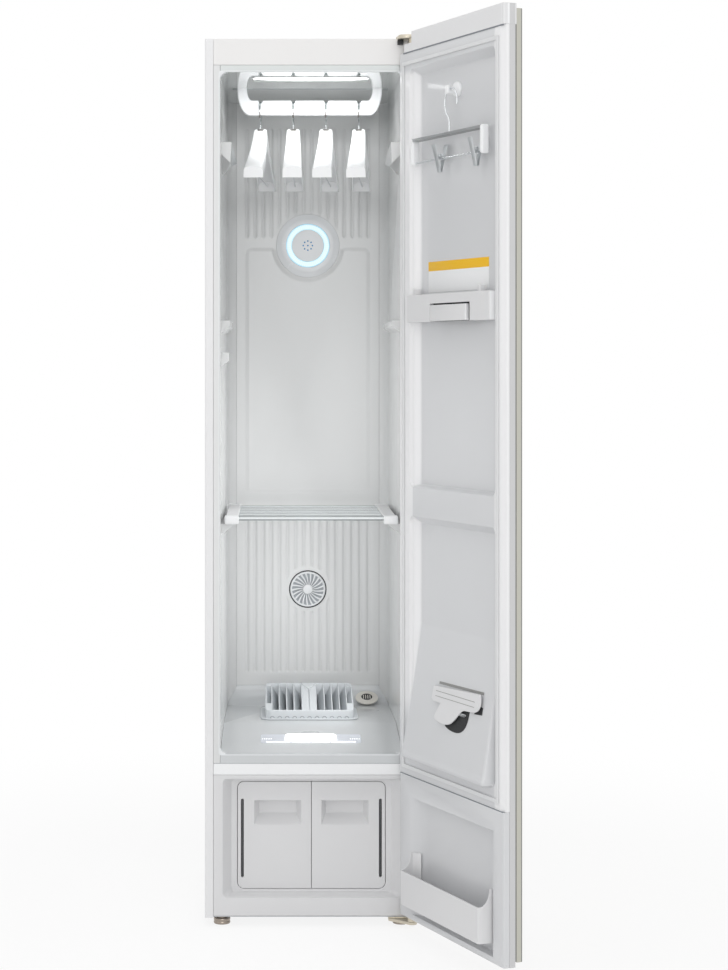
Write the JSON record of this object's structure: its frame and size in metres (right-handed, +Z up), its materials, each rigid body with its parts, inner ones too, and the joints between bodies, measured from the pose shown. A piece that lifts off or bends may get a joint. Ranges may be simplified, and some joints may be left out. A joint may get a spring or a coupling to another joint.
{
  "type": "clothes care steam cabinet",
  "caption": "Tall narrow steam cabinet for refreshing clothes, door open, with a moving hanger bar, shelf, lint filter, water tanks and a trouser press in the door.",
  "frame": {"origin": "middle of the footprint of the cabinet with its door open as shown, on the floor", "axes": "+X to the right seen from the front, +Y from the front to the back of the cabinet, +Z up"},
  "size_m": [0.6134, 0.968, 1.855],
  "materials": {
    "white_paint": "satin white powder coat",
    "warm_white": "satin warm white",
    "cavity_liner": "glossy pale grey moulding",
    "grey_plastic": "fine matt pale grey",
    "white_plastic": "soft gloss white",
    "door_liner": "soft gloss pale grey",
    "lamp_lens": "milky diffuser",
    "ring_lens": "milky diffuser with a cool tint",
    "trim": "champagne coated sheet",
    "bracket": "champagne plated steel",
    "chrome": "bright plated wire",
    "machine": "dull machine metal",
    "dark_steel": "dark steel",
    "tank": "smoke grey moulding",
    "gasket": "matt grey",
    "galvanised": "galvanised sheet"
  },
  "bodies": {
    "cabinet": {"side_panel_left": "white_paint", "side_panel_right": "white_paint", "top_cover": "warm_white", "back_panel": "galvanised", "crossbar": "white_plastic", "base_tray": "galvanised", "lower_front_frame": "grey_plastic", "cavity_left_wall": "cavity_liner", "cavity_right_wall": "cavity_liner", "cavity_back_wall": "cavity_liner", "cavity_ceiling": "cavity_liner", "cavity_floor": "cavity_liner", "ceiling_lamp_lens": "lamp_lens", "floor_lamp_lens": "lamp_lens", "light_disc": "cavity_liner", "light_ring_lens": "ring_lens", "fan_grille": "cavity_liner", "fan_motor": "dark_steel", "steam_nozzle": "white_plastic", "bar_motor": "dark_steel", "tank_bay": "grey_plastic", "steam_generator": "dark_steel", "heat_pump": "machine", "foot_front_left": "dark_steel", "foot_front_right": "dark_steel", "top_hinge_bracket": "bracket", "bottom_hinge_bracket": "bracket"},
    "door": {"door_frame": "grey_plastic", "door_front_panel": "trim", "door_liner_upper": "door_liner", "door_liner_lower": "grey_plastic", "door_top_cap": "door_liner", "door_gasket": "gasket", "garment_hook": "white_plastic", "presser_bar": "door_liner"},
    "presser_lever": {"presser_lever": "door_liner"},
    "hem_clamp": {"hem_clamp": "door_liner"},
    "door_bin": {"door_bin": "white_plastic"},
    "trouser_hanger": {"trouser_hanger": "chrome"},
    "trouser_clip_left": {"trouser_clip_left": "chrome"},
    "trouser_clip_right": {"trouser_clip_right": "chrome"},
    "circulation_fan": {"circulation_fan": "grey_plastic"},
    "filter_cassette": {"filter_cassette": "grey_plastic"},
    "shelf": {"shelf": "chrome"},
    "hanger_bar": {"hanger_bar": "white_plastic"},
    "bar_rocker": {"bar_rocker": "grey_plastic"},
    "clip_jaw_left": {"trouser_clip_jaw_left": "chrome"},
    "clip_jaw_right": {"trouser_clip_jaw_right": "chrome"},
    "hanger_hook_1": {"hanger_hook_1": "chrome"},
    "hanger_1": {"hanger_1": "white_plastic"},
    "hanger_hook_2": {"hanger_hook_2": "chrome"},
    "hanger_2": {"hanger_2": "white_plastic"},
    "hanger_hook_3": {"hanger_hook_3": "chrome"},
    "hanger_3": {"hanger_3": "white_plastic"},
    "hanger_hook_4": {"hanger_hook_4": "chrome"},
    "hanger_4": {"hanger_4": "white_plastic"},
    "supply_tank": {"supply_tank": "tank", "supply_tank_front": "grey_plastic"},
    "drain_tank": {"drain_tank": "tank", "drain_tank_front": "grey_plastic"}
  },
  "joints": [
    {"name": "door_hinge", "type": "hinge", "parent": "cabinet", "child": "door", "pos_m": [0.12279, -0.08104, 0.9], "axis": [0, 0, 1], "range_deg": [-112.8, 12.2]},
    {"name": "supply_tank_slide", "type": "slide", "parent": "cabinet", "child": "supply_tank", "axis": [0, -1, 0], "range_m": [0, 0.25]},
    {"name": "drain_tank_slide", "type": "slide", "parent": "cabinet", "child": "drain_tank", "axis": [0, -1, 0], "range_m": [0, 0.25]},
    {"name": "shelf_slide", "type": "slide", "parent": "cabinet", "child": "shelf", "axis": [0, -1, 0], "range_m": [0, 0.3]},
    {"name": "filter_lift", "type": "slide", "parent": "cabinet", "child": "filter_cassette", "axis": [0, 0, 1], "range_m": [0, 0.25]},
    {"name": "fan_spin", "type": "hinge", "parent": "cabinet", "child": "circulation_fan", "pos_m": [-0.08421, 0.45296, 0.652], "axis": [0, 1, 0], "continuous": true},
    {"name": "hanger_bar_shake", "type": "slide", "parent": "cabinet", "child": "hanger_bar", "axis": [1, 0, 0], "range_m": [-0.01, 0.01]},
    {"name": "bar_rocker_turn", "type": "hinge", "parent": "cabinet", "child": "bar_rocker", "pos_m": [-0.08421, 0.25896, 1.792], "axis": [0, 0, 1], "range_deg": [-15, 15]},
    {"name": "hanger_swing_1", "type": "hinge", "parent": "hanger_bar", "child": "hanger_hook_1", "pos_m": [-0.19221, 0.18896, 1.7439], "axis": [0, 1, 0], "range_deg": [-6, 6]},
    {"name": "hanger_swing_2", "type": "hinge", "parent": "hanger_bar", "child": "hanger_hook_2", "pos_m": [-0.12021, 0.18896, 1.7439], "axis": [0, 1, 0], "range_deg": [-6, 6]},
    {"name": "hanger_swing_3", "type": "hinge", "parent": "hanger_bar", "child": "hanger_hook_3", "pos_m": [-0.04821, 0.18896, 1.7439], "axis": [0, 1, 0], "range_deg": [-6, 6]},
    {"name": "hanger_swing_4", "type": "hinge", "parent": "hanger_bar", "child": "hanger_hook_4", "pos_m": [0.02379, 0.18896, 1.7439], "axis": [0, 1, 0], "range_deg": [-6, 6]},
    {"name": "hanger_swivel_1", "type": "hinge", "parent": "hanger_hook_1", "child": "hanger_1", "pos_m": [-0.19221, 0.18896, 1.68], "axis": [0, 0, 1], "range_deg": [-4, 4]},
    {"name": "hanger_swivel_2", "type": "hinge", "parent": "hanger_hook_2", "child": "hanger_2", "pos_m": [-0.12021, 0.18896, 1.68], "axis": [0, 0, 1], "range_deg": [-4, 4]},
    {"name": "hanger_swivel_3", "type": "hinge", "parent": "hanger_hook_3", "child": "hanger_3", "pos_m": [-0.04821, 0.18896, 1.68], "axis": [0, 0, 1], "range_deg": [-4, 4]},
    {"name": "hanger_swivel_4", "type": "hinge", "parent": "hanger_hook_4", "child": "hanger_4", "pos_m": [0.02379, 0.18896, 1.68], "axis": [0, 0, 1], "range_deg": [-4, 4]},
    {"name": "presser_lever_turn", "type": "hinge", "parent": "door", "child": "presser_lever", "pos_m": [0.15462, -0.22386, 1.274], "axis": [0, 0, -1], "range_deg": [0, 40]},
    {"name": "hem_clamp_turn", "type": "hinge", "parent": "door", "child": "hem_clamp", "pos_m": [0.19708, -0.321, 0.536], "axis": [-0.3875, 0.9219, 0], "range_deg": [0, 20], "stiffness_Nm_per_rad": 0.5},
    {"name": "door_bin_lift", "type": "slide", "parent": "door", "child": "door_bin", "axis": [0, 0, 1], "range_m": [0, 0.03]},
    {"name": "trouser_hanger_swing", "type": "hinge", "parent": "door", "child": "trouser_hanger", "pos_m": [0.18418, -0.27869, 1.712], "axis": [-0.9219, -0.3875, 0], "range_deg": [-1.5, 8]},
    {"name": "trouser_clip_left_slide", "type": "slide", "parent": "trouser_hanger", "child": "trouser_clip_left", "axis": [0.3875, -0.9219, 0], "range_m": [-0.03, 0.05]},
    {"name": "trouser_clip_right_slide", "type": "slide", "parent": "trouser_hanger", "child": "trouser_clip_right", "axis": [0.3875, -0.9219, 0], "range_m": [-0.05, 0.015]},
    {"name": "clip_jaw_left_turn", "type": "hinge", "parent": "trouser_clip_left", "child": "clip_jaw_left", "pos_m": [0.16165, -0.24368, 1.589], "axis": [-0.3875, 0.9219, 0], "range_deg": [0, 15], "stiffness_Nm_per_rad": 0.1},
    {"name": "clip_jaw_right_turn", "type": "hinge", "parent": "trouser_clip_right", "child": "clip_jaw_right", "pos_m": [0.22094, -0.38473, 1.589], "axis": [-0.3875, 0.9219, 0], "range_deg": [0, 15], "stiffness_Nm_per_rad": 0.1}
  ],
  "couplings": [
    {"joint": "bar_rocker_turn", "follows": "hanger_bar_shake", "rad_per_m": 25}
  ]
}
